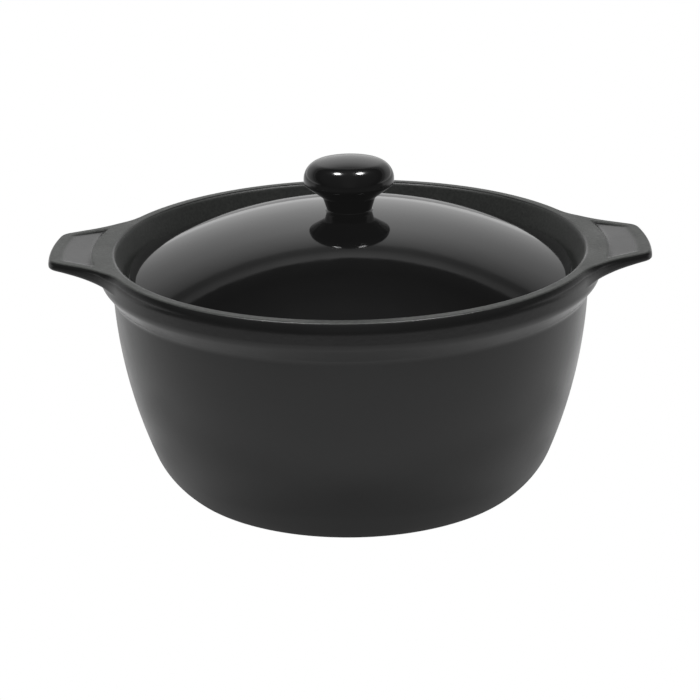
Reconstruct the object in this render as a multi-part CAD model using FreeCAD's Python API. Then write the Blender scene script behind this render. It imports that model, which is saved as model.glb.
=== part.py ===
import FreeCAD, Part
import math
import os

# A round stoneware casserole for slow cooking: a pot with two lug handles,
# a domed lid that drops into the pot's rim, and a mushroom knob on the lid.
# Millimetres. Origin at the centre of the face the pot stands on, +Z up,
# handles along X. All parts are solids of revolution about Z, apart from the lugs.

# Pot, outside
rim_radius = 130.4          # outside of the rim band
pot_height = 125.2          # standing face to the top of the rim
band_drop = 10.4            # upright part of the rim band, below the rim's top
band_overhang = 6.4         # how far the band stands out from the wall under it
band_round = 6.0            # convex curve under the band
band_turn = 36.0            # degrees: how steeply the band runs in below that curve
band_hollow = 5.0           # concave curve that ends on the wall
wall_taper = 16.9           # how far the wall leans in, from the band down to the heel
wall_curve = 267.0          # radius of the wall's gentle belly
heel_height = 18.1          # where the wall starts to turn under
heel_tuck = 13.0            # how far the heel turns in
rim_outer_rounding = 3.0    # runs round the rim and both lugs alike
rim_inner_rounding = 2.0

# Pot, inside
rim_width = 8.1             # flat top of the rim
gallery_depth = 15.0        # rim's top down to the ledge that carries the lid
gallery_lean = 5.9          # how far the gallery's wall slopes in on its way down
ledge_width = 6.5
ledge_rounding = 1.5
wall = 9.0                  # thickness of the wall at the heel
floor = 8.5                 # thickness of the floor
inner_belly = 1.6           # how far the inside of the wall bows out from a straight line
foot_ring_width = 11.0      # flat ring that the pot stands on
foot_recess = 2.0           # how far the underside is lifted inside that ring
foot_recess_slope = 4.0

# Lug handles
lug_reach = 25.8            # how far a lug stands out from the rim band
lug_tip_half_width = 26.0
lug_flare = 30.2            # degrees between a lug's side and the X axis
lug_blend = 60.0            # hollow that leads a lug's side into the rim
lug_corner = 9.0            # round corners of the tip
lug_tip_thickness = 4.3
lug_root_thickness = 8.2
lug_under_hollow = 0.7      # how far a lug's underside bows up between tip and root
panel_border = 4.5          # raised border left at a lug's sides
panel_inset = 2.4           # from the rim band's outside to the thumb panel
panel_tip_border = 5.2
panel_root_depth = 1.5      # the thumb panel is deepest at the root
panel_tip_depth = 0.5
panel_corner = 3.0

# Lid
lid_clearance = 1.4         # lid's edge to the gallery's wall
lid_edge = 4.7              # upright edge, from the seat to the foot of the dome
lid_dome = 245.0            # radius of the dome
lid_thickness = 7.0
lid_edge_rounding = 0.8
lid_lower_rounding = 1.2
lid_seat_overlap = 3.0      # the lid's seat ring reaches this far in past the ledge
lid_ring_slope = 2.5        # the ring's inner face leans in on its way up

# Knob
knob_radius = 23.4
knob_cap_height = 11.2      # widest point to the top
knob_shoulder = 9.4         # small radius at the cap's shoulder; the crown's follows from it
knob_lip = 2.2              # upright edge under the widest point
knob_under_height = 7.4     # sloping underside, from the lip down to the neck
knob_neck_top_radius = 13.7
knob_neck_radius = 11.8     # just above the foot
knob_neck_height = 6.9      # foot to underside
knob_foot_rounding = 0.8    # hollow where the neck runs out onto the lid
knob_lip_rounding = 0.4


def point(r, z):
    """A point of a section, in the XZ plane."""
    return FreeCAD.Vector(r, 0, z)


def line(a, b):
    return Part.LineSegment(a, b).toShape()


def lines(*points):
    """Straight edges from each point to the next."""
    return [line(a, b) for a, b in zip(points, points[1:])]


def arc3(a, b, c):
    """Arc through three points."""
    return Part.Arc(a, b, c).toShape()


def arc_about(centre, radius, start, end):
    """Arc of a section about a centre, from one angle to another, in degrees."""
    angles = [math.radians(a) for a in (start, (start + end) / 2.0, end)]
    return arc3(*[centre + point(math.cos(a), math.sin(a)) * radius for a in angles])


def turned(edges):
    """The solid that a closed section makes when it is turned round Z."""
    face = Part.Face(Part.Wire(Part.__sortEdges__(edges)))
    return face.revolve(FreeCAD.Vector(0, 0, 0), FreeCAD.Vector(0, 0, 1), 360)


def ring_edges(solid, radius, height, near=0.01):
    """The circular edges of a given radius at a given height."""
    found = []
    for edge in solid.Edges:
        at = edge.valueAt(edge.FirstParameter)
        box = edge.BoundBox
        level = box.ZLength < near and abs(at.z - height) < near
        if level and abs(math.hypot(at.x, at.y) - radius) < near:
            found.append(edge)
    return found


# Sizes that follow from the ones above
rim_top = pot_height
band_foot = rim_top - band_drop
wall_top_radius = rim_radius - band_overhang
ogee_turn = math.radians(band_turn)
ogee_curves = band_round + band_hollow
ogee_slope = (band_overhang - ogee_curves * (1.0 - math.cos(ogee_turn))) / math.tan(ogee_turn)
wall_top = band_foot - ogee_curves * math.sin(ogee_turn) - ogee_slope
heel_radius = wall_top_radius - wall_taper
foot_radius = heel_radius - heel_tuck
gallery_top_radius = rim_radius - rim_width
gallery_foot_radius = gallery_top_radius - gallery_lean
ledge = rim_top - gallery_depth
ledge_radius = gallery_foot_radius - ledge_width
lug_tip_radius = rim_radius + lug_reach
lid_radius = gallery_foot_radius - lid_clearance
lid_shoulder = ledge + lid_edge
dome_centre = lid_shoulder - math.sqrt(lid_dome ** 2 - lid_radius ** 2)
knob_foot_radius = knob_neck_radius + knob_foot_rounding
knob_foot = dome_centre + math.sqrt(lid_dome ** 2 - knob_foot_radius ** 2)


def wall_edges():
    """Outside of the wall: a gentle belly, then a heel that meets it without a corner.

    Gives the two edges, and the outward direction where they meet.
    """
    top = point(wall_top_radius, wall_top)
    heel = point(heel_radius, heel_height)
    foot = point(foot_radius, 0)
    drop = heel - top
    reach = math.sqrt(wall_curve ** 2 - (drop.Length / 2.0) ** 2)
    belly_centre = (top + heel) / 2.0 + point(drop.z, -drop.x).normalize() * reach
    outward = (heel - belly_centre).normalize()
    belly_middle = ((top - belly_centre) + (heel - belly_centre)).normalize() * wall_curve
    tuck = foot - heel
    heel_curve = -tuck.Length ** 2 / (2.0 * tuck.dot(outward))
    heel_centre = heel - outward * heel_curve
    heel_middle = ((heel - heel_centre) + (foot - heel_centre)).normalize() * heel_curve
    belly = arc3(top, belly_centre + belly_middle, heel)
    return [belly, arc3(heel, heel_centre + heel_middle, foot)], outward


def outside():
    """The pot's outer form under the rim band, solid to the axis."""
    band_centre = point(rim_radius - band_round, band_foot)
    hollow_centre = point(wall_top_radius + band_hollow, wall_top)
    slope = point(math.cos(ogee_turn), -math.sin(ogee_turn))
    recess_radius = foot_radius - foot_ring_width
    under = lines(
        point(foot_radius, 0),
        point(recess_radius, 0),
        point(recess_radius - foot_recess_slope, foot_recess),
        point(0, foot_recess),
        point(0, band_foot),
        point(rim_radius, band_foot),
    )
    band = [
        arc_about(band_centre, band_round, 0.0, -band_turn),
        line(band_centre + slope * band_round, hollow_centre - slope * band_hollow),
        arc_about(hollow_centre, band_hollow, 180.0 - band_turn, 180.0),
    ]
    return turned(under + band + wall_edges()[0])


def inside():
    """The hollow of the pot: gallery, ledge, wall and floor, open above the rim."""
    outward = wall_edges()[1]
    lean = math.atan2(-outward.z, outward.x)
    turn_start = point(heel_radius, heel_height) - outward * wall
    turn_radius = (turn_start.z - floor) / (1.0 - math.sin(lean))
    turn_centre = turn_start - outward * turn_radius
    mouth = point(ledge_radius, ledge)
    bowed = (mouth + turn_start) / 2.0 + point(inner_belly, 0)
    upper = lines(
        point(0, floor),
        point(0, rim_top + gallery_depth),
        point(gallery_top_radius, rim_top + gallery_depth),
        point(gallery_top_radius, rim_top),
        point(gallery_foot_radius, ledge),
        mouth,
    )
    lower = [
        arc3(mouth, bowed, turn_start),
        arc_about(turn_centre, turn_radius, -math.degrees(lean), -90.0),
        line(point(turn_centre.x, floor), point(0, floor)),
    ]
    return turned(upper + lower)


def lug_side(offset, tip_radius, corner):
    """One side of a lug's plan, drawn in by an offset, with its round corner at the tip.

    Gives the side's normal, its distance from the axis, and three points of the corner:
    where it leaves the tip's arc, its middle, and where it runs into the straight side.
    """
    flare = math.radians(lug_flare)
    normal = FreeCAD.Vector(math.sin(flare), math.cos(flare), 0)
    tip_x = math.sqrt(lug_tip_radius ** 2 - lug_tip_half_width ** 2)
    distance = normal.dot(FreeCAD.Vector(tip_x, lug_tip_half_width, 0)) - offset
    angle = math.pi / 2.0 - flare - math.acos((distance - corner) / (tip_radius - corner))
    outward = FreeCAD.Vector(math.cos(angle), math.sin(angle), 0)
    centre = outward * (tip_radius - corner)
    middle = centre + (outward + normal).normalize() * corner
    return normal, distance, [centre + outward * corner, middle, centre + normal * corner]


def flipped(vector, across_x, across_y):
    """A point of the plan moved to another quarter of it."""
    return FreeCAD.Vector(vector.x * across_x, vector.y * across_y, vector.z)


def rim_plan():
    """Outline of the rim and both lugs seen from above: one closed line with no corner."""
    normal, distance, corner = lug_side(0.0, lug_tip_radius, lug_corner)
    blend = math.acos((distance + lug_blend) / (rim_radius + lug_blend))
    root_angle = math.atan2(normal.y, normal.x) - blend
    outward = FreeCAD.Vector(math.cos(root_angle), math.sin(root_angle), 0)
    blend_centre = outward * (rim_radius + lug_blend)
    blend_start = blend_centre - normal * lug_blend
    blend_middle = blend_centre - (outward + normal).normalize() * lug_blend
    root = outward * rim_radius
    edges = []
    for across_x in (1, -1):
        tip = FreeCAD.Vector(across_x * lug_tip_radius, 0, 0)
        edges.append(arc3(flipped(corner[0], across_x, 1), tip, flipped(corner[0], across_x, -1)))
        for across_y in (1, -1):
            out, middle, start = [flipped(p, across_x, across_y) for p in corner]
            hollow = [flipped(p, across_x, across_y) for p in (blend_start, blend_middle, root)]
            edges += [arc3(out, middle, start), line(start, hollow[0]), arc3(*hollow)]
    for across_y in (1, -1):
        side = FreeCAD.Vector(0, across_y * rim_radius, 0)
        edges.append(arc3(flipped(root, 1, across_y), side, flipped(root, -1, across_y)))
    return Part.Wire(Part.__sortEdges__(edges))


def under_lugs():
    """The room for fingers: outside the rim band and below the lugs' underside."""
    root = point(rim_radius, rim_top - lug_root_thickness)
    tip = point(lug_tip_radius, rim_top - lug_tip_thickness)
    hollow = (tip + root) / 2.0 + point(0, lug_under_hollow)
    outer = lug_tip_radius + lug_reach
    below = band_foot - band_drop
    rest = lines(tip, point(outer, tip.z), point(outer, below), point(rim_radius, below), root)
    return turned([arc3(root, hollow, tip)] + rest)


def rim():
    """Rim band and both lugs: one plate with a rounded upper edge, thinned under the lugs."""
    plate = Part.Face(rim_plan()).extrude(FreeCAD.Vector(0, 0, band_drop))
    plate.translate(FreeCAD.Vector(0, 0, band_foot))
    upper = [edge for edge in plate.Edges if edge.BoundBox.ZMin > rim_top - band_drop / 2.0]
    return plate.makeFillet(rim_outer_rounding, upper).cut(under_lugs())


def thumb_panel():
    """The shallow panel sunk in the top of the lug at +X: deepest at the root, fading outwards."""
    inner = rim_radius + panel_inset
    outer = lug_tip_radius - panel_tip_border
    above = rim_top + panel_root_depth
    corners = [
        point(inner, above),
        point(inner, rim_top - panel_root_depth),
        point(outer, rim_top - panel_tip_depth),
        point(outer, above),
    ]
    sweep = turned(lines(*corners, corners[0]))
    normal, distance, (out, middle, start) = lug_side(panel_border, outer, panel_corner)
    root = start + FreeCAD.Vector(-normal.y, normal.x, 0) * (2.0 * lug_reach)
    far = [flipped(p, 1, -1) for p in (out, middle, start, root)]
    plan = Part.Wire([
        arc3(out, middle, start),
        line(start, root),
        line(root, far[3]),
        line(far[3], far[2]),
        arc3(far[2], far[1], far[0]),
        arc3(far[0], FreeCAD.Vector(outer, 0, 0), out),
    ])
    block = Part.Face(plan).extrude(FreeCAD.Vector(0, 0, 2.0 * band_drop))
    block.translate(FreeCAD.Vector(0, 0, rim_top - band_drop))
    return sweep.common(block)


def pot():
    """The pot: bowl, rim band and lugs in one piece of clay."""
    body = outside().fuse(rim()).removeSplitter().cut(inside())
    panel = thumb_panel()
    across = panel.copy()
    across.rotate(FreeCAD.Vector(0, 0, 0), FreeCAD.Vector(0, 0, 1), 180)
    body = body.cut(panel).cut(across)
    body = body.makeFillet(rim_inner_rounding, ring_edges(body, gallery_top_radius, rim_top))
    return body.makeFillet(ledge_rounding, ring_edges(body, ledge_radius, ledge))


def lid():
    """The lid: a domed shell with a flat seat ring under its edge and a flat for the knob."""
    hollow_dome = lid_dome - lid_thickness
    seat_radius = ledge_radius - lid_seat_overlap
    ring_top_radius = seat_radius - lid_ring_slope
    ring_top = dome_centre + math.sqrt(hollow_dome ** 2 - ring_top_radius ** 2)
    centre = point(0, dome_centre)
    edge_angle = math.degrees(math.acos(lid_radius / lid_dome))
    flat_angle = math.degrees(math.acos(knob_foot_radius / lid_dome))
    ring_angle = math.degrees(math.acos(ring_top_radius / hollow_dome))
    section = [
        arc_about(centre, lid_dome, edge_angle, flat_angle),
        arc_about(centre, hollow_dome, ring_angle, 90.0),
    ]
    section += lines(
        point(lid_radius, lid_shoulder),
        point(lid_radius, ledge),
        point(seat_radius, ledge),
        point(ring_top_radius, ring_top),
    )
    section += lines(
        point(knob_foot_radius, knob_foot),
        point(0, knob_foot),
        point(0, dome_centre + hollow_dome),
    )
    shell = turned(section)
    shell = shell.makeFillet(lid_edge_rounding, ring_edges(shell, lid_radius, lid_shoulder))
    return shell.makeFillet(lid_lower_rounding, ring_edges(shell, lid_radius, ledge))


def knob():
    """The knob: a flat-domed cap on a waisted neck that runs out onto the lid."""
    neck_foot = knob_foot + knob_foot_rounding
    neck_top = knob_foot + knob_neck_height
    lip = neck_top + knob_under_height
    widest = lip + knob_lip
    top = widest + knob_cap_height
    # the crown's arc meets the shoulder's where both have the same tangent
    inset = knob_radius - knob_shoulder
    crown_curve = (inset ** 2 + knob_cap_height ** 2 - knob_shoulder ** 2)
    crown_curve /= 2.0 * (knob_cap_height - knob_shoulder)
    shoulder_end = math.degrees(math.acos(inset / (crown_curve - knob_shoulder)))
    section = [
        arc_about(point(knob_foot_radius, neck_foot), knob_foot_rounding, 270.0, 180.0),
        arc_about(point(inset, widest), knob_shoulder, 0.0, shoulder_end),
        arc_about(point(0, top - crown_curve), crown_curve, shoulder_end, 90.0),
    ]
    section += lines(
        point(knob_neck_radius, neck_foot),
        point(knob_neck_top_radius, neck_top),
        point(knob_radius, lip),
        point(knob_radius, widest),
    )
    section += lines(point(0, top), point(0, knob_foot), point(knob_foot_radius, knob_foot))
    body = turned(section)
    return body.makeFillet(knob_lip_rounding, ring_edges(body, knob_radius, lip))


pieces = {"pot": pot(), "lid": lid(), "knob": knob()}
os.makedirs("parts", exist_ok=True)
for name, shape in pieces.items():
    shape.exportStep("parts/" + name + ".step")
    print(name, shape.isValid(), len(shape.Solids), round(shape.Volume / 1000.0, 1), "cm3", shape.BoundBox)
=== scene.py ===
import math

import bpy
import numpy as np
from mathutils import Matrix, Vector


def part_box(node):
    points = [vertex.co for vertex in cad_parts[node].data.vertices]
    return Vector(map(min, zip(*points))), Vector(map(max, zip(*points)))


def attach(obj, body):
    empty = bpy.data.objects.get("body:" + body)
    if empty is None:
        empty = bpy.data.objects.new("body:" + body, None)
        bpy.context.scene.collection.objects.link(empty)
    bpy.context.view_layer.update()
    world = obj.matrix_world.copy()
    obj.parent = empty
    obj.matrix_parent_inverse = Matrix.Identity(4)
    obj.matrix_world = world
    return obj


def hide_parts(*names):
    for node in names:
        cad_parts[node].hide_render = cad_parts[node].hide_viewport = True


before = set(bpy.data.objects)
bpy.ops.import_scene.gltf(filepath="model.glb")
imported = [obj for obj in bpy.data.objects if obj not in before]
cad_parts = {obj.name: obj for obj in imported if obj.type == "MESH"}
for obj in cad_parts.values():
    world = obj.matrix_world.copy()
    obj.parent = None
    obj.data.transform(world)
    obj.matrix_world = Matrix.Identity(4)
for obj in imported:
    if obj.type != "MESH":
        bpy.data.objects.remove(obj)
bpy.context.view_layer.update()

# A round stoneware casserole: bellied pot with two lug handles, domed lid, mushroom knob.
# Sections and plans are in millimetres, and become metres when a skin is made.

MM = 0.001


def reach(node, axis, end=1):
    """A node's lowest (end 0) or highest (end 1) coordinate on an axis, in millimetres."""
    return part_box(node)[end][axis] / MM


# Places taken from the frame
RIM_TOP = reach("pot", 2)
RIM_RADIUS = reach("pot", 1)
LUG_TIP_RADIUS = reach("pot", 0)
LID_RADIUS = min(reach("lid", 1), -reach("lid", 1, 0))
LEDGE = reach("lid", 2, 0)
KNOB_RADIUS = min(reach("knob", 1), -reach("knob", 1, 0))
KNOB_FOOT = reach("knob", 2, 0)
KNOB_TOP = reach("knob", 2)

# Pot
BAND_FOOT = RIM_TOP - 10.4
BAND_ROUND = 6.0
BAND_TURN = 36.0
BAND_HOLLOW = 5.0
BAND_OVERHANG = 6.4
WALL_CURVE = 267.0
HEEL = (107.1, 18.1)
FOOT_RADIUS = 94.1
FOOT_EDGE = 1.2
RECESS_RADIUS = 83.1
RECESS = 2.0
RIM_ROUNDING = (3.2, 5.4)
LUG_ROUNDING = (2.0, 2.4)
RIM_INNER_ROUNDING = 2.0
MOUTH_RADIUS = RIM_RADIUS - 8.1
GALLERY_FOOT_RADIUS = MOUTH_RADIUS - 5.9
LEDGE_RADIUS = GALLERY_FOOT_RADIUS - 6.5
WALL = 9.0
FLOOR = 8.5
INNER_BELLY = 1.6
RECESS_SLOPE = 4.0
FLOOR_MIDDLE = 15.0
RECESS_MIDDLE = (70.0, 15.0)

# Lugs
LUG_FLARE = 30.2
LUG_HALF_WIDTH = 26.0
LUG_CORNER = 9.0
LUG_BLEND = 60.0
LUG_ROOT = RIM_TOP - 8.2
LUG_TIP = RIM_TOP - 4.3
LUG_UNDER_HOLLOW = 0.7
LUG_LOWER_EDGE = 1.1
LUG_ONSET = 4.0
LUG_UNDER_ARM = 0.7
LUG_UNDER_LIFT = 1.6
LUG_ROOT_ARM = 0.25
LEAST_FACE = 0.1
PANEL_BORDER = 4.5
PANEL_ROOT_RADIUS = RIM_RADIUS + 2.4
PANEL_TIP_RADIUS = LUG_TIP_RADIUS - 5.2
PANEL_ROOT_DEPTH = 1.3
PANEL_TIP_DEPTH = 0.5
PANEL_CORNER = 3.0
PANEL_EDGE = 3.6
# Rows across the flat top, as shares of the way: rim to panel, across the panel, on to the edge
RIM_TO_PANEL = (0.25, 0.5, 0.7, 0.84, 0.92, 0.965, 0.988, 1.0)
ACROSS_PANEL = (
    0.012, 0.025, 0.04, 0.06, 0.09, 0.14, 0.21, 0.3, 0.4, 0.5,
    0.6, 0.7, 0.79, 0.86, 0.91, 0.94, 0.96, 0.975, 0.988, 1.0,
)
PANEL_TO_EDGE = (0.04, 0.1, 0.2, 0.35, 0.55, 0.78, 1.0)
# Where a column misses the panel, those three stretches still keep these shares of its length
PANEL_START_MOST = 0.6
PANEL_LEAST = 0.04
PANEL_END_MOST = 0.92

# Lid and knob
LID_DOME = 245.0
LID_THICKNESS = 7.0
LID_SHOULDER = LEDGE + 4.7
LID_EDGE_ROUNDING = 0.8
LID_SEAT_RADIUS = LEDGE_RADIUS - 3.0
LID_RING_SLOPE = 2.5
LID_EDGE_ARM = 6.0
KNOB_SHOULDER = 9.4
KNOB_LIP = 2.2
KNOB_CAP = 11.2
KNOB_NECK_TOP = KNOB_FOOT + 6.9
KNOB_NECK_TOP_RADIUS = 13.7
KNOB_NECK_RADIUS = 11.8
KNOB_FOOT_ROUNDING = 0.8
KNOB_FOOT_MIDDLE = 3.0

# Softened corners: how far from the corner the curve leaves each side
LEDGE_SOFT = 1.5
GALLERY_SOFT = 1.4
RECESS_SOFT = 0.8
LID_LOWER_SOFT = 1.2
LID_SEAT_SOFT = 0.8
LID_RING_SOFT = 1.4
KNOB_LIP_SOFT = 0.7
KNOB_UNDER_SOFT = 1.0

# Glaze and clay, as red, green and blue, each from its darker to its lighter cloud
SATIN_TONES = ((0.0040, 0.0042, 0.0042), (0.0070, 0.0073, 0.0072))
DRY_TONES = ((0.015, 0.017, 0.015), (0.038, 0.041, 0.037))
CLAY_TONES = ((0.16, 0.075, 0.045), (0.27, 0.14, 0.085))
GLOSS_TONES = ((0.0012, 0.0012, 0.0013), (0.0024, 0.0024, 0.0024))
PIT_TONE = (0.05, 0.045, 0.04)
SEAT_TONE = (0.2, 0.1, 0.06)

# Studio. Sky: places along its slant from -1 (0.0) to 1 (1.0), each with its brightness
SWEEP_STOPS = (
    (0.0, 0.88), (0.40, 0.84), (0.45, 0.72), (0.485, 0.60), (0.512, 0.46), (0.526, 0.20),
    (0.548, 0.19), (0.567, 0.36), (0.588, 0.50), (0.594, 0.04), (0.66, 0.02), (0.74, 0.055),
    (0.81, 0.11), (1.0, 0.15),
)
SWEEP_SLANT = 0.78
SOFTBOX_WIDE = 0.40
SOFTBOX_SHAPE = 0.7
SOFTBOX_POWER = 13.0
SOFTBOX_PLACES = {"softbox_left": (-0.44, 0.08, 1.66), "softbox_right": (0.44, 0.08, 1.66)}
SOFTBOX_AIM = (0.0, 0.0, 0.12)
FLOOR_HALF = 14.0
# Painted pool of light on the floor: its glowing tone far out, and round the pot and behind it
POOL_DIM = 0.05
POOL_BRIGHT = 0.36
CAMERA_PLACE = (0.0, -0.9506, 0.4118)
CAMERA_TURN = (20.02, -0.055, 0.98)
CAMERA_LENS = 97.58
CAMERA_SENSOR = 36.0
BLACK_LEVEL = -0.0058


# ---------------------------------------------------------------- sections

def unit(v):
    """The vector at length 1."""
    return np.asarray(v, float) / np.linalg.norm(v)


def run(a, b, count):
    """A straight run: a plus u times (b - a), u evenly from 0 to 1."""
    u = np.linspace(0.0, 1.0, count)[:, None]
    return np.asarray(a, float) * (1.0 - u) + np.asarray(b, float) * u


def arc(centre, radius, start, end, count):
    """An arc: centre plus radius times (cos t, sin t), t evenly between two angles in degrees."""
    t = np.radians(np.linspace(start, end, count))
    return np.stack([centre[0] + radius * np.cos(t), centre[1] + radius * np.sin(t)], -1)


def arc_between(centre, a, b, count):
    """The short arc about a centre from point a to point b."""
    a, b = np.subtract(a, centre), np.subtract(b, centre)
    start = math.degrees(math.atan2(a[1], a[0]))
    end = math.degrees(math.atan2(b[1], b[0]))
    end = start + (end - start + 180.0) % 360.0 - 180.0
    return arc(centre, math.hypot(*a), start, end, count)


def corner(a, k, b, cut, count):
    """A softened corner at k, between arms towards a and b: the parabola that leaves each arm
    at a distance cut from k, (1-u)^2 p + 2u(1-u) k + u^2 q."""
    a, k, b = (np.asarray(v, float) for v in (a, k, b))
    p, q = k + unit(a - k) * cut, k + unit(b - k) * cut
    u = np.linspace(0.0, 1.0, count)[:, None]
    return (1.0 - u) ** 2 * p + 2.0 * u * (1.0 - u) * k + u ** 2 * q


def chain(*parts):
    """One section from several that follow each other, without the points that repeat."""
    points = np.concatenate([np.atleast_2d(p) for p in parts])
    step = np.linalg.norm(np.diff(points, axis=0), axis=1)
    return points[np.concatenate([[True], step > 1e-4])]


def smooth_step(x):
    """0 below 0, 1 above 1, and 3x^2 - 2x^3 between."""
    x = np.clip(x, 0.0, 1.0)
    return x * x * (3.0 - 2.0 * x)


def circle(count):
    """Unit vectors round the axis, evenly spaced, anticlockwise from +X."""
    t = np.linspace(0.0, 2.0 * np.pi, count, endpoint=False)
    return np.stack([np.cos(t), np.sin(t)], -1)


def turned(section, around):
    """A section turned round the axis: row i, column j is (r_i times around_j, z_i)."""
    plan = section[:, 0, None, None] * around[None]
    height = np.broadcast_to(section[:, 1, None, None], plan.shape[:2] + (1,))
    return np.concatenate([plan, height], -1)


def skin(name, rows, first_pole, last_pole):
    """A closed skin from rows of points (rows, columns, 3). Four-sided faces join row to row
    and column to column, the last column to the first, and a fan closes each end on its pole,
    a point of the axis given by its height."""
    count, around = rows.shape[:2]
    poles = [[0.0, 0.0, first_pole], [0.0, 0.0, last_pole]]
    points = np.concatenate([rows.reshape(-1, 3), poles]) * MM
    i = np.arange(count - 1)[:, None] * around
    j = np.arange(around)[None, :]
    k = (j + 1) % around
    quads = np.stack([i + j, i + around + j, i + around + k, i + k], -1).reshape(-1, 4)
    end = (count - 1) * around
    pole = np.full(around, count * around)
    first = np.stack([pole, j[0], k[0]], -1)
    last = np.stack([end + j[0], pole + 1, end + k[0]], -1)
    mesh = bpy.data.meshes.new(name)
    mesh.from_pydata(points.tolist(), [], quads.tolist() + first.tolist() + last.tolist())
    mesh.polygons.foreach_set("use_smooth", np.ones(len(mesh.polygons), bool))
    mesh.update()
    piece = bpy.data.objects.new(name, mesh)
    bpy.context.scene.collection.objects.link(piece)
    return piece


# ---------------------------------------------------------------- pot

def band_slope():
    """How far the straight run between the band's two curves goes down."""
    turn = math.radians(BAND_TURN)
    return (BAND_OVERHANG - (BAND_ROUND + BAND_HOLLOW) * (1.0 - math.cos(turn))) / math.tan(turn)


def wall_line():
    """Outside of the wall, from the band's hollow down to the foot: a shallow belly of given
    radius, then the arc that leaves it without a corner and ends on the foot."""
    drop = (BAND_ROUND + BAND_HOLLOW) * math.sin(math.radians(BAND_TURN)) + band_slope()
    top = np.array([RIM_RADIUS - BAND_OVERHANG, BAND_FOOT - drop])
    heel = np.array(HEEL)
    foot = np.array([FOOT_RADIUS, 0.0])
    drop = heel - top
    inward = unit([drop[1], -drop[0]])
    belly_centre = (top + heel) / 2.0 + inward * math.sqrt(WALL_CURVE ** 2 - (drop @ drop) / 4.0)
    outward = unit(heel - belly_centre)
    tuck = foot - heel
    heel_curve = -(tuck @ tuck) / (2.0 * (tuck @ outward))
    heel_centre = heel - outward * heel_curve
    belly = arc_between(belly_centre, top, heel, 26)
    return top, belly, arc_between(heel_centre, heel, foot, 18), outward


def inside_section():
    """Hollow of the pot from the middle of the floor up to the flat top of the rim."""
    outward = wall_line()[3]
    lean = math.atan2(-outward[1], outward[0])
    turn_start = np.array(HEEL) - outward * WALL
    turn_radius = (turn_start[1] - FLOOR) / (1.0 - math.sin(lean))
    turn_centre = turn_start - outward * turn_radius
    mouth = np.array([LEDGE_RADIUS, LEDGE])
    gallery_foot = np.array([GALLERY_FOOT_RADIUS, LEDGE])
    gallery_top = np.array([MOUTH_RADIUS, RIM_TOP])
    wall = run(turn_start, mouth, 18)
    u = np.linspace(0.0, 1.0, 18)
    wall[:, 0] += 4.0 * INNER_BELLY * u * (1.0 - u)
    wall = wall[:-1]
    gallery = gallery_top - gallery_foot
    beyond = gallery_top + (9.0, 0.0)
    return chain(
        run((FLOOR_MIDDLE, FLOOR), (turn_centre[0], FLOOR), 7),
        arc(turn_centre, turn_radius, -90.0, -math.degrees(lean), 14),
        wall,
        corner(wall[-1], mouth, gallery_foot, LEDGE_SOFT, 6),
        corner(mouth, gallery_foot, gallery_top, GALLERY_SOFT, 6),
        run(gallery_foot + gallery * 0.2, gallery_foot + gallery * 0.8, 5),
        corner(gallery_foot, gallery_top, beyond, RIM_INNER_ROUNDING, 9),
    )


def outside_section():
    """Pot's outside from the foot of the rim band down, under the foot and to the recess."""
    top, belly, heel, _ = wall_line()
    foot = np.array([FOOT_RADIUS, 0.0])
    ring = np.array([RECESS_RADIUS, 0.0])
    recess = np.array([RECESS_RADIUS - RECESS_SLOPE, RECESS])
    rounded = arc((RIM_RADIUS - BAND_ROUND, BAND_FOOT), BAND_ROUND, 0.0, -BAND_TURN, 9)
    hollow = arc((top[0] + BAND_HOLLOW, top[1]), BAND_HOLLOW, 180.0 - BAND_TURN, 180.0, 11)
    return chain(
        rounded[1:],
        run(rounded[-1], hollow[0], 6)[1:-1],
        hollow,
        belly,
        heel[:-1][np.linalg.norm(heel[:-1] - foot, axis=1) > FOOT_EDGE],
        corner(heel[-2], foot, ring, FOOT_EDGE, 6),
        run((FOOT_RADIUS - 3.0, 0.0), (RECESS_RADIUS + 1.5, 0.0), 6),
        corner(foot, ring, recess, RECESS_SOFT, 4),
        corner(ring, recess, (0.0, RECESS), RECESS_SOFT, 4),
        run((RECESS_MIDDLE[0], RECESS), (RECESS_MIDDLE[1], RECESS), 4),
    )


def lug_frame():
    """Normal of a lug's straight side and the side's distance from the axis."""
    flare = math.radians(LUG_FLARE)
    normal = np.array([math.sin(flare), math.cos(flare)])
    tip = math.sqrt(LUG_TIP_RADIUS ** 2 - LUG_HALF_WIDTH ** 2)
    return normal, normal @ (tip, LUG_HALF_WIDTH)


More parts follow.
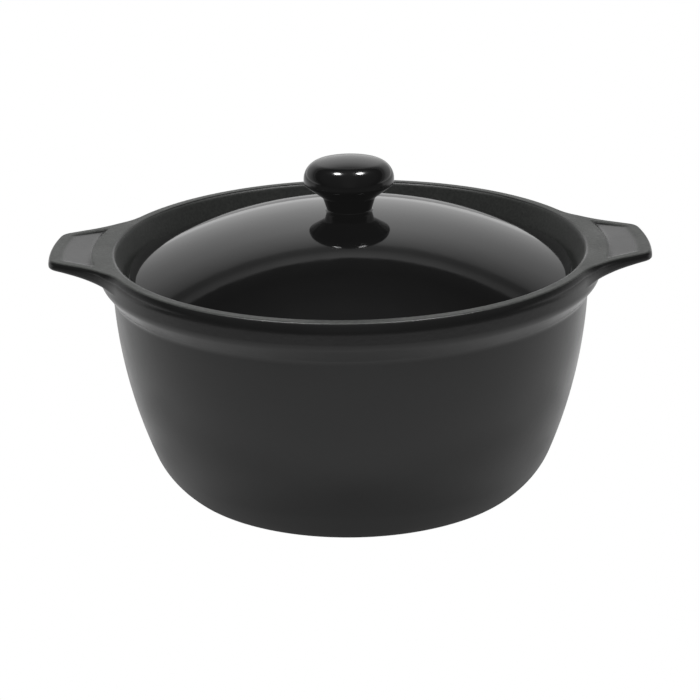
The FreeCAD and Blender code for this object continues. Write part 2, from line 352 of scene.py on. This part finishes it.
def rim_outline():
    """Plan of the band and lugs, column by column: points and outward normals. A quarter is a
    tip arc about the axis, a corner arc, a straight side, a hollow arc and the band's own
    circle, each walked evenly by its own angle or length; mirroring in Y and X gives the rest."""
    normal, distance = lug_frame()
    axis = (0.0, 0.0)
    side = math.degrees(math.atan2(normal[1], normal[0]))
    tip = side - math.degrees(math.acos((distance - LUG_CORNER) / (LUG_TIP_RADIUS - LUG_CORNER)))
    root = side - math.degrees(math.acos((distance + LUG_BLEND) / (RIM_RADIUS + LUG_BLEND)))
    corner_centre = arc(axis, LUG_TIP_RADIUS - LUG_CORNER, tip, tip, 1)[0]
    blend_centre = arc(axis, RIM_RADIUS + LUG_BLEND, root, root, 1)[0]
    straight = run(corner_centre + normal * LUG_CORNER, blend_centre - normal * LUG_BLEND, 25)
    hollow = arc(blend_centre, LUG_BLEND, side + 180.0, root + 180.0, 31)
    runs = [
        (arc(axis, LUG_TIP_RADIUS, 0.0, tip, 15), arc(axis, 1.0, 0.0, tip, 15)),
        (arc(corner_centre, LUG_CORNER, tip, side, 13), arc(axis, 1.0, tip, side, 13)),
        (straight, np.tile(normal, (len(straight), 1))),
        (hollow, arc(axis, 1.0, side, root, len(hollow))),
        (arc(axis, RIM_RADIUS, root, 90.0, 42), arc(axis, 1.0, root, 90.0, 42)),
    ]
    quarter = np.concatenate([np.stack(r, 1)[:-1] for r in runs[:-1]] + [np.stack(runs[-1], 1)])
    half = np.concatenate([quarter, quarter[::-1][1:] * (-1.0, 1.0)])
    whole = np.concatenate([half[:-1], -half[:-1]])
    return whole[:, 0], whole[:, 1]


def panel_sink(plan):
    """How far the thumb panel sinks the rim's top at points of the plan: a straight fall in
    depth from root to tip, times a smooth step of the distance in from the panel's outline
    (root arc, tip arc, two sides), its corners rounded as R minus the length of (R - d)."""
    normal, distance = lug_frame()
    r = np.linalg.norm(plan, axis=-1)
    gaps = np.stack([
        r - PANEL_ROOT_RADIUS,
        PANEL_TIP_RADIUS - r,
        distance - PANEL_BORDER - np.abs(plan) @ normal,
    ], -1)
    inside = PANEL_CORNER - np.linalg.norm(np.clip(PANEL_CORNER - gaps, 0.0, None), axis=-1)
    along = np.clip((r - PANEL_ROOT_RADIUS) / (PANEL_TIP_RADIUS - PANEL_ROOT_RADIUS), 0.0, 1.0)
    depth = PANEL_ROOT_DEPTH + (PANEL_TIP_DEPTH - PANEL_ROOT_DEPTH) * along
    return depth * smooth_step(inside / PANEL_EDGE)


def on_lug(outline):
    """0 along the rim, rising smoothly to 1 where the outline stands out as a lug."""
    return smooth_step((np.linalg.norm(outline, axis=1) - RIM_RADIUS) / LUG_ONSET)


def outer_rounding(outline):
    """Width and height of the upper edge's rounding, column by column: smaller on the lugs."""
    share = on_lug(outline)
    return [rim + (lug - rim) * share for rim, lug in zip(RIM_ROUNDING, LUG_ROUNDING)]


def rim_top_rows(outline, normals, around):
    """Flat top of the rim and lugs: each column runs straight from the rim's inner rounding to
    its outer rounding. Rows crowd where a column meets the thumb panel's outline."""
    start = around * (MOUTH_RADIUS + RIM_INNER_ROUNDING)
    end = outline - normals * outer_rounding(outline)[0][:, None]
    length = np.linalg.norm(end - start, axis=1)
    normal, distance = lug_frame()
    to_root = PANEL_ROOT_RADIUS - MOUTH_RADIUS - RIM_INNER_ROUNDING
    to_tip = PANEL_TIP_RADIUS - MOUTH_RADIUS - RIM_INNER_ROUNDING
    gone = np.abs(end) @ normal - np.abs(start) @ normal
    to_side = length * (distance - PANEL_BORDER - np.abs(start) @ normal) / np.maximum(gone, 1e-3)
    to_side = np.where(gone > 1e-3, to_side, length)
    panel_in = np.minimum(to_root, PANEL_START_MOST * length)
    panel_out = np.minimum(to_side, to_tip)
    panel_out = np.clip(panel_out, panel_in + PANEL_LEAST * length, PANEL_END_MOST * length)
    stops = [np.zeros_like(length), panel_in, panel_out, length]
    shares = (RIM_TO_PANEL, ACROSS_PANEL, PANEL_TO_EDGE)
    along = np.concatenate([
        near + np.array(share)[:, None] * (far - near)
        for near, far, share in zip(stops[:-1], stops[1:], shares)
    ])
    plan = start + (end - start) * (along / length)[..., None]
    height = RIM_TOP - panel_sink(plan)
    return np.concatenate([plan, height[..., None]], -1)


def lug_under(r):
    """Height of a lug's underside at a radius: straight from root to tip, bowed up between."""
    s = (r - RIM_RADIUS) / (LUG_TIP_RADIUS - RIM_RADIUS)
    return LUG_ROOT + (LUG_TIP - LUG_ROOT) * s + 4.0 * LUG_UNDER_HOLLOW * s * (1.0 - s)


def rim_edge_rows(outline, normals, around):
    """The rim's and lugs' edge: quarter of an ellipse at the upper edge, upright face, small
    round of the lower edge, then a curve of four control points under the lug that lands on
    the band. The lower round and the curve shrink to the band's own face where there is no lug."""
    stand = np.linalg.norm(outline, axis=1) - RIM_RADIUS
    lug = on_lug(outline)
    width, height = outer_rounding(outline)
    low = lug_under(RIM_RADIUS + stand)

    def row(inset, z):
        plan = outline - normals * np.reshape(inset, (-1, 1))
        return np.concatenate([plan, np.reshape(z, (-1, 1))], 1)

    def on_band(z):
        return np.concatenate([around * RIM_RADIUS, np.full((len(around), 1), z)], 1)

    flat = np.zeros_like(stand)
    rows = []
    for t in np.radians(np.linspace(90.0, 0.0, 11)[1:]):
        rows.append(row(width * (1.0 - math.cos(t)), RIM_TOP - height * (1.0 - math.sin(t))))
    shoulder = RIM_TOP - height
    edge = np.minimum(low + LUG_LOWER_EDGE, shoulder - LEAST_FACE)
    for u in (0.34, 0.67, 1.0):
        rows.append(row(flat, shoulder + (edge - shoulder) * u))
    for t in np.radians((18.0, 36.0, 54.0, 72.0, 90.0)):
        inset = LUG_LOWER_EDGE * lug * (1.0 - math.cos(t))
        rows.append(row(inset, edge + (low - edge) * math.sin(t)))
    start = rows[-1]
    knee, land = on_band(LUG_ROOT), on_band(BAND_FOOT)
    lift = np.zeros_like(start)
    lift[:, 2] = LUG_UNDER_LIFT * LUG_UNDER_HOLLOW * lug
    first = start + LUG_UNDER_ARM * (knee - start) + lift
    second = knee + LUG_ROOT_ARM * (land - knee)
    for u in np.linspace(0.0, 1.0, 20)[1:]:
        v = 1.0 - u
        rows.append(v ** 3 * start + 3 * v * v * u * first + 3 * v * u * u * second + u ** 3 * land)
    return np.stack(rows)


def pot_body():
    """The pot in one skin: floor, hollow, ledge, rim with lugs, band, wall, foot, underside."""
    outline, normals = rim_outline()
    around = outline / np.linalg.norm(outline, axis=1)[:, None]
    rows = np.concatenate([
        turned(inside_section(), around),
        rim_top_rows(outline, normals, around),
        rim_edge_rows(outline, normals, around),
        turned(outside_section(), around),
    ])
    return skin("pot_body", rows, FLOOR, RECESS)


# ---------------------------------------------------------------- lid and knob

def lid_shell():
    """The lid: dome, rounded shoulder, upright edge, seat ring and hollow underside, turned."""
    inner_dome = LID_DOME - LID_THICKNESS
    centre = (0.0, LID_SHOULDER - math.sqrt(LID_DOME ** 2 - LID_RADIUS ** 2))
    run_in = LID_RADIUS - LID_EDGE_ROUNDING
    rise = math.sqrt((LID_DOME - LID_EDGE_ROUNDING) ** 2 - run_in ** 2)
    shoulder = math.degrees(math.atan2(rise, run_in))
    ring_top = LID_SEAT_RADIUS - LID_RING_SLOPE
    ring = np.array([ring_top, centre[1] + math.sqrt(inner_dome ** 2 - ring_top ** 2)])
    seat = np.array([LID_SEAT_RADIUS, LEDGE])
    edge = np.array([LID_RADIUS, LEDGE])
    ring_angle = math.degrees(math.acos(ring_top / inner_dome))
    hollow = arc(centre, inner_dome, ring_angle + 0.4, 88.5, 22)
    section = chain(
        arc(centre, LID_DOME, 89.0, shoulder, 46),
        arc((run_in, centre[1] + rise), LID_EDGE_ROUNDING, shoulder, 0.0, 16),
        corner((LID_RADIUS, LEDGE + LID_EDGE_ARM), edge, seat, LID_LOWER_SOFT, 7),
        run((LID_RADIUS - 2.5, LEDGE), (LID_SEAT_RADIUS + 1.2, LEDGE), 3),
        corner(edge, seat, ring, LID_SEAT_SOFT, 5),
        corner(seat, ring, hollow[3], LID_RING_SOFT, 6),
        hollow,
    )
    rows = turned(section, circle(300))
    return skin("lid_shell", rows, centre[1] + LID_DOME, centre[1] + inner_dome)


def knob_body():
    """The knob, turned: crown and shoulder arcs that share a tangent, upright lip, sloping
    underside, waisted neck, and the small hollow where it runs out onto the lid."""
    inset = KNOB_RADIUS - KNOB_SHOULDER
    widest = KNOB_TOP - KNOB_CAP
    lip = widest - KNOB_LIP
    crown = inset ** 2 + KNOB_CAP ** 2 - KNOB_SHOULDER ** 2
    crown = crown / (2.0 * (KNOB_CAP - KNOB_SHOULDER))
    meet = math.degrees(math.acos(inset / (crown - KNOB_SHOULDER)))
    neck_foot = KNOB_FOOT + KNOB_FOOT_ROUNDING
    neck_top = np.array([KNOB_NECK_TOP_RADIUS, KNOB_NECK_TOP])
    neck_low = np.array([KNOB_NECK_RADIUS, neck_foot])
    rim = (KNOB_RADIUS, lip)
    foot_radius = KNOB_NECK_RADIUS + KNOB_FOOT_ROUNDING
    section = chain(
        arc((0.0, KNOB_TOP - crown), crown, 87.5, meet, 16),
        arc((inset, widest), KNOB_SHOULDER, meet, 0.0, 20),
        corner((KNOB_RADIUS, widest), rim, neck_top, KNOB_LIP_SOFT, 6),
        corner(rim, neck_top, neck_low, KNOB_UNDER_SOFT, 6),
        run(neck_top + (neck_low - neck_top) * 0.25, neck_low, 5),
        arc((foot_radius, neck_foot), KNOB_FOOT_ROUNDING, 180.0, 270.0, 9),
        run((foot_radius - 1.0, KNOB_FOOT), (KNOB_FOOT_MIDDLE, KNOB_FOOT), 3),
    )
    return skin("knob_body", turned(section, circle(180)), KNOB_TOP, KNOB_FOOT)


# ---------------------------------------------------------------- finishes

def node(tree, kind, inputs=(), **settings):
    """A shader node with its settings, and its inputs given as values or as other outputs."""
    made = tree.nodes.new(kind)
    for name, value in settings.items():
        setattr(made, name, value)
    for name, value in dict(inputs).items():
        if isinstance(value, bpy.types.NodeSocket):
            tree.links.new(value, made.inputs[name])
        else:
            made.inputs[name].default_value = value
    return made


def calc(tree, operation, a, b=0.0, clamp=False):
    """A sum on one or two values in a shader."""
    made = node(tree, "ShaderNodeMath", {0: a, 1: b}, operation=operation, use_clamp=clamp)
    return made.outputs[0]


def between(tree, value, low, high, to_low=0.0, to_high=1.0):
    """A smooth change from one number to another as a value goes from low to high."""
    sockets = {
        "Value": value, "From Min": low, "From Max": high, "To Min": to_low, "To Max": to_high,
    }
    return node(tree, "ShaderNodeMapRange", sockets, interpolation_type="SMOOTHSTEP").outputs[0]


def grain(tree, coords, per_metre, detail=2.0, rough=0.5):
    """Cloudy noise with about so many lumps to the metre."""
    sockets = {"Vector": coords, "Scale": per_metre, "Detail": detail, "Roughness": rough}
    return node(tree, "ShaderNodeTexNoise", sockets).outputs["Fac"]


def blended(tree, share, a, b):
    """One colour into another by a share."""
    made = node(tree, "ShaderNodeMix", {0: share, 6: a, 7: b}, data_type="RGBA")
    return made.outputs[2]


def opaque(tone):
    """Red, green and blue as the four numbers that a colour socket takes."""
    return (*tone, 1.0)


def clouded(tree, share, tones):
    """Darker tone into lighter tone by a share."""
    return blended(tree, share, opaque(tones[0]), opaque(tones[1]))


class Finish:
    """A material in the making: its tree, its shader, and the places on the piece it reads."""

    def __init__(self, name):
        self.material = bpy.data.materials.new(name)
        self.material.use_nodes = True
        self.tree = self.material.node_tree
        self.shader = self.tree.nodes["Principled BSDF"]
        self.at = node(self.tree, "ShaderNodeTexCoord").outputs["Object"]
        split = node(self.tree, "ShaderNodeSeparateXYZ", {0: self.at})
        self.height = split.outputs[2]
        level = {0: self.at, 1: (1.0, 1.0, 0.0)}
        flat = node(self.tree, "ShaderNodeVectorMath", level, operation="MULTIPLY").outputs[0]
        radius = node(self.tree, "ShaderNodeVectorMath", {0: flat}, operation="LENGTH")
        self.radius = radius.outputs["Value"]

    def bumps(self, heights):
        """Bump nodes in a row, each a height and its full depth in metres."""
        normal = None
        for height, depth in heights:
            sockets = {"Height": height, "Distance": depth, "Strength": 1.0}
            if normal is not None:
                sockets["Normal"] = normal
            normal = node(self.tree, "ShaderNodeBump", sockets).outputs[0]
        self.tree.links.new(normal, self.shader.inputs["Normal"])

    def set(self, **sockets):
        """Values or outputs for the shader's sockets, an underscore for each space."""
        for name, value in sockets.items():
            socket = self.shader.inputs[name.replace("_", " ")]
            if isinstance(value, bpy.types.NodeSocket):
                self.tree.links.new(value, socket)
            else:
                socket.default_value = value


def pinholes(finish, per_metre, size, sparse):
    """Small round pits in a glaze: near a cell's centre, in the few cells that chance picks."""
    cells = node(finish.tree, "ShaderNodeTexVoronoi", {"Vector": finish.at, "Scale": per_metre})
    near = between(finish.tree, cells.outputs["Distance"], size, size * 0.4)
    chance = node(finish.tree, "ShaderNodeSeparateColor", {0: cells.outputs["Color"]}).outputs[0]
    picked = calc(finish.tree, "GREATER_THAN", chance, sparse)
    return calc(finish.tree, "MULTIPLY", near, picked)


def satin_black():
    """Pot glaze: satin black, drier, mottled and finely rough on the flat top of rim and lugs
    and a little drier in the gallery, with a few pits, and bare brown clay under the foot."""
    f = Finish("satin_black_glaze")
    t = f.tree
    fine = grain(t, f.at, 2600.0, 3.0, 0.6)
    cloudy = grain(t, f.at, 38.0, 4.0, 0.55)
    mottle = grain(t, f.at, 700.0, 3.0, 0.6)
    peel = grain(t, f.at, 420.0, 2.0, 0.5)
    on_top = between(t, f.height, (RIM_TOP - 0.7) * MM, (RIM_TOP - 0.1) * MM)
    past_mouth = between(t, f.radius, (MOUTH_RADIUS + 0.4) * MM, (MOUTH_RADIUS + 1.8) * MM)
    dry = calc(t, "MULTIPLY", on_top, past_mouth)
    above_ledge = between(t, f.height, (LEDGE - 1.0) * MM, (LEDGE + 1.0) * MM)
    in_mouth = between(t, f.radius, (MOUTH_RADIUS + 0.6) * MM, MOUTH_RADIUS * MM)
    in_gallery = calc(t, "MULTIPLY", above_ledge, in_mouth)
    wander = calc(t, "MULTIPLY", grain(t, f.at, 60.0, 3.0), 0.004)
    bare_radius = calc(t, "ADD", f.radius, wander)
    low = between(t, f.height, 0.0026, 0.0020)
    bare = calc(t, "MULTIPLY", low, between(t, bare_radius, 0.0960, 0.0952))
    pits = pinholes(f, 90.0, 0.028, 0.86)
    glaze = clouded(t, cloudy, SATIN_TONES)
    dry_glaze = clouded(t, between(t, mottle, 0.3, 0.7), DRY_TONES)
    clay = clouded(t, cloudy, CLAY_TONES)
    tone = blended(t, calc(t, "MULTIPLY", in_gallery, 0.7), glaze, dry_glaze)
    tone = blended(t, dry, tone, dry_glaze)
    tone = blended(t, calc(t, "MULTIPLY", pits, 0.6), tone, opaque(PIT_TONE))
    tone = blended(t, bare, tone, clay)
    rough = between(t, cloudy, 0.3, 0.7, 0.19, 0.26)
    drier = between(t, fine, 0.3, 0.7, 0.14, 0.26)
    rough = calc(t, "ADD", rough, calc(t, "MULTIPLY", dry, drier))
    rough = calc(t, "ADD", rough, calc(t, "MULTIPLY", in_gallery, 0.25))
    rough = calc(t, "ADD", rough, calc(t, "MULTIPLY", bare, 0.6), clamp=True)
    f.set(Base_Color=tone, Roughness=rough, IOR=1.46)
    rub = calc(t, "MULTIPLY", fine, calc(t, "ADD", calc(t, "MULTIPLY", dry, 0.85), 0.15))
    f.bumps([
        (peel, 0.000035),
        (calc(t, "MULTIPLY", mottle, dry), 0.00012),
        (rub, 0.00006),
        (calc(t, "MULTIPLY", pits, -1.0), 0.0002),
    ])
    return f.material


def gloss_black(name, swell, dull):
    """Lid and knob glaze: deep gloss black that lay slightly uneven when it melted, by a depth
    of swell in metres, and is so dull; bare brown clay where the lid sits on the ledge."""
    f = Finish(name)
    t = f.tree
    slow = grain(t, f.at, 34.0, 2.0, 0.45)
    peel = grain(t, f.at, 260.0, 2.0, 0.5)
    cloudy = grain(t, f.at, 70.0, 4.0, 0.6)
    pits = pinholes(f, 70.0, 0.022, 0.9)
    tone = clouded(t, cloudy, GLOSS_TONES)
    seat = between(t, f.height, (LEDGE + 0.5) * MM, (LEDGE + 0.15) * MM)
    tone = blended(t, calc(t, "MULTIPLY", pits, 0.5), tone, opaque(PIT_TONE))
    tone = blended(t, seat, tone, opaque(SEAT_TONE))
    rough = between(t, cloudy, 0.3, 0.7, dull, dull + 0.03)
    rough = calc(t, "ADD", rough, calc(t, "MULTIPLY", seat, 0.7), clamp=True)
    f.set(Base_Color=tone, Roughness=rough, IOR=1.48)
    f.bumps([(slow, swell), (peel, 0.000006), (calc(t, "MULTIPLY", pits, -1.0), 0.00012)])
    return f.material


# ---------------------------------------------------------------- studio

def studio_sky():
    """What the glaze mirrors: a white sweep behind the pot up to a slanted upper edge, a grey
    strip past it, a dim room elsewhere, and a white horizon at the back. The camera itself
    sees an even white."""
    world = bpy.data.worlds.new("studio")
    bpy.context.scene.world = world
    world.use_nodes = True
    tree = world.node_tree
    ray = node(tree, "ShaderNodeTexCoord").outputs["Generated"]
    split = node(tree, "ShaderNodeSeparateXYZ", {0: ray})
    back = calc(tree, "MULTIPLY", split.outputs[1], SWEEP_SLANT)
    slant = calc(tree, "SUBTRACT", split.outputs[2], back)
    halved = calc(tree, "MULTIPLY", calc(tree, "ADD", slant, 1.0), 0.5, clamp=True)
    ramp = node(tree, "ShaderNodeValToRGB", {0: halved})
    stops = ramp.color_ramp.elements
    for place, grey in SWEEP_STOPS[1:-1]:
        stops.new(place).color = opaque([grey] * 3)
    for stop, (place, grey) in zip((stops[0], stops[-1]), (SWEEP_STOPS[0], SWEEP_STOPS[-1])):
        stop.position = place
        stop.color = opaque([grey] * 3)
    low = between(tree, split.outputs[2], 0.05, 0.12, 1.0, 0.0)
    low = calc(tree, "MULTIPLY", low, between(tree, split.outputs[1], -0.35, 0.15))
    aside = calc(tree, "ABSOLUTE", split.outputs[0])
    fading = between(tree, aside, 0.05, 0.5, 1.0, 0.62)
    sky = calc(tree, "MAXIMUM", calc(tree, "MULTIPLY", ramp.outputs[0], fading), low)
    seen = node(tree, "ShaderNodeLightPath").outputs["Is Camera Ray"]
    sky = calc(tree, "MAXIMUM", sky, seen)
    tree.links.new(sky, tree.nodes["Background"].inputs["Color"])


def softbox(name, place):
    """A small oval soft light that faces the pot."""
    light = bpy.data.lights.new(name, "AREA")
    light.shape = "ELLIPSE"
    light.size = SOFTBOX_WIDE
    light.size_y = SOFTBOX_SHAPE * SOFTBOX_WIDE
    light.energy = SOFTBOX_POWER
    lamp = bpy.data.objects.new(name, light)
    bpy.context.scene.collection.objects.link(lamp)
    lamp.location = place
    aim = Vector(SOFTBOX_AIM) - lamp.location
    lamp.rotation_euler = aim.to_track_quat("-Z", "Y").to_euler()


def table_top():
    """A plain white floor. What lights the pot is a pool of light painted into the floor's own
    tone and glow, bright round it and behind it, with a painted shadow close to the foot and
    dim far in front; the camera itself sees an even white."""
    signs = ((-1, -1), (1, -1), (1, 1), (-1, 1))
    corners = [(x * FLOOR_HALF, y * FLOOR_HALF, 0.0) for x, y in signs]
    mesh = bpy.data.meshes.new("floor")
    mesh.from_pydata(corners, [], [(0, 1, 2, 3)])
    floor = bpy.data.objects.new("floor", mesh)
    bpy.context.scene.collection.objects.link(floor)
    material = bpy.data.materials.new("floor_with_painted_pool")
    material.use_nodes = True
    tree = material.node_tree
    at = node(tree, "ShaderNodeTexCoord").outputs["Object"]
    forward = node(tree, "ShaderNodeSeparateXYZ", {0: at}).outputs[1]
    out = node(tree, "ShaderNodeVectorMath", {0: at}, operation="LENGTH").outputs["Value"]
    # Painted pool of light: the floor's tone and glow are bright round the pot and behind it, dim
    # far in front
    around = between(tree, out, 0.56, 0.42, POOL_DIM, POOL_BRIGHT)
    behind = between(tree, forward, -0.05, 0.15, 0.0, POOL_BRIGHT)
    pool = calc(tree, "MAXIMUM", around, behind)
    # Painted shadow: the floor's tone and glow fall low close to the pot's foot
    pool = calc(tree, "MULTIPLY", pool, between(tree, out, 0.086, 0.114, 0.12, 1.0))
    painted_floor_tone = node(tree, "ShaderNodeCombineColor", {0: pool, 1: pool, 2: pool}).outputs[0]
    matt = node(tree, "ShaderNodeBsdfDiffuse", {"Color": painted_floor_tone}).outputs[0]
    # The floor glows with this painted tone though it is no lamp
    glow = node(tree, "ShaderNodeEmission", {"Color": painted_floor_tone, "Strength": 1.0}).outputs[0]
    matt_plus_painted_glow = node(tree, "ShaderNodeAddShader", {0: matt, 1: glow}).outputs[0]
    white = {"Color": opaque([1.0] * 3), "Strength": 1.0}
    even = node(tree, "ShaderNodeEmission", white).outputs[0]
    seen = node(tree, "ShaderNodeLightPath").outputs["Is Camera Ray"]
    both = node(tree, "ShaderNodeMixShader", {0: seen, 1: matt_plus_painted_glow, 2: even}).outputs[0]
    tree.links.new(both, tree.nodes["Material Output"].inputs["Surface"])
    mesh.materials.append(material)


def camera():
    """A long lens nearly a metre away, looking down on the rim, with a slight roll."""
    pitch, yaw, roll = (math.radians(a) for a in CAMERA_TURN)
    level = math.cos(pitch)
    forward = Vector((math.sin(yaw) * level, math.cos(yaw) * level, -math.sin(pitch)))
    across = forward.cross(Vector((0.0, 0.0, 1.0))).normalized()
    above = across.cross(forward)
    right = across * math.cos(roll) - above * math.sin(roll)
    up = across * math.sin(roll) + above * math.cos(roll)
    lens = bpy.data.cameras.new("camera")
    lens.lens = CAMERA_LENS
    lens.sensor_width = CAMERA_SENSOR
    eye = bpy.data.objects.new("camera", lens)
    bpy.context.scene.collection.objects.link(eye)
    turn = Matrix((right, up, -forward)).transposed()
    eye.matrix_world = Matrix.Translation(CAMERA_PLACE) @ turn.to_4x4()
    bpy.context.scene.camera = eye


camera()
studio_sky()
for name, place in SOFTBOX_PLACES.items():
    softbox(name, place)
table_top()
view = bpy.context.scene.view_settings
view.view_transform = "Standard"
view.use_curve_mapping = True
view.curve_mapping.black_level = [BLACK_LEVEL] * 3

for piece, cad_node, body, slot, finish in (
    (pot_body(), "pot", "pot", "satin_glaze", satin_black()),
    (lid_shell(), "lid", "lid", "gloss_glaze", gloss_black("gloss_black_glaze", 0.00007, 0.045)),
    (knob_body(), "knob", "lid", "knob_glaze", gloss_black("knob_black_glaze", 0.00003, 0.12)),
):
    piece.data.materials.append(finish)
    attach(piece, body)
    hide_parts(cad_node)
